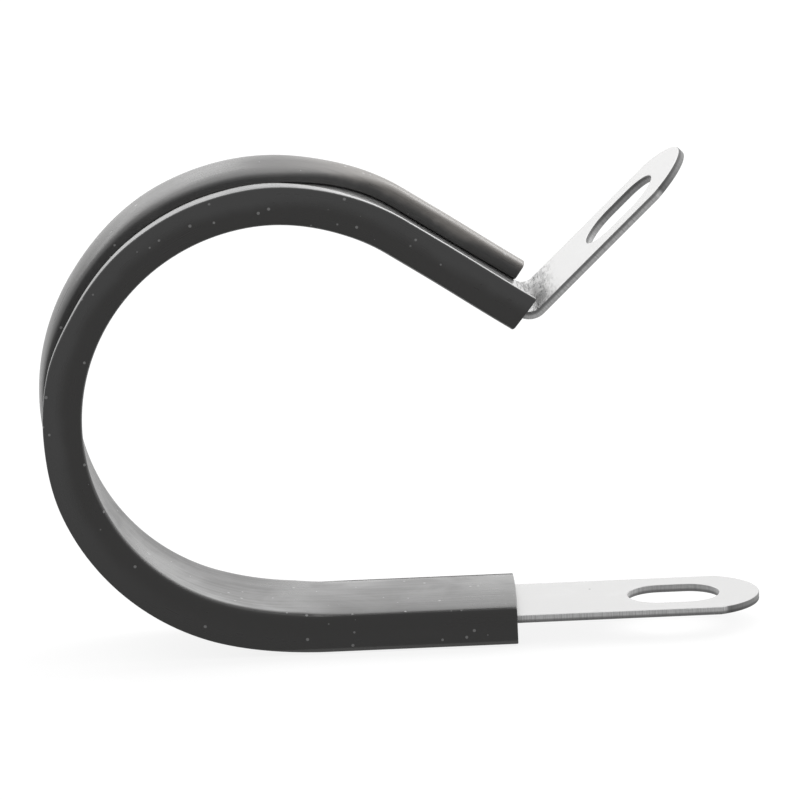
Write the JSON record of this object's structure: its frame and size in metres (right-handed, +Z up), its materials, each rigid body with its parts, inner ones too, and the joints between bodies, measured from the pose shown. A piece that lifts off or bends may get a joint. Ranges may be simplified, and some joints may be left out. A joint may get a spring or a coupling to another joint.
{
  "type": "p clip",
  "caption": "Open P-shaped steel clip with a black rubber liner; it closes round a pipe or cable bundle and bolts down through slotted ears.",
  "frame": {"origin": "centre of the lower ear's slot, on the ear's underside", "axes": "+X along the axis of the loop, +Y from the loop towards the lower ear's tip, +Z up, square to the lower ear"},
  "size_m": [0.0132, 0.0715, 0.0487],
  "materials": {
    "zinc_steel": "bright zinc plate, satin",
    "rubber": "satin black"
  },
  "bodies": {
    "root": {"band": "zinc_steel", "liner": "rubber"}
  },
  "joints": []
}
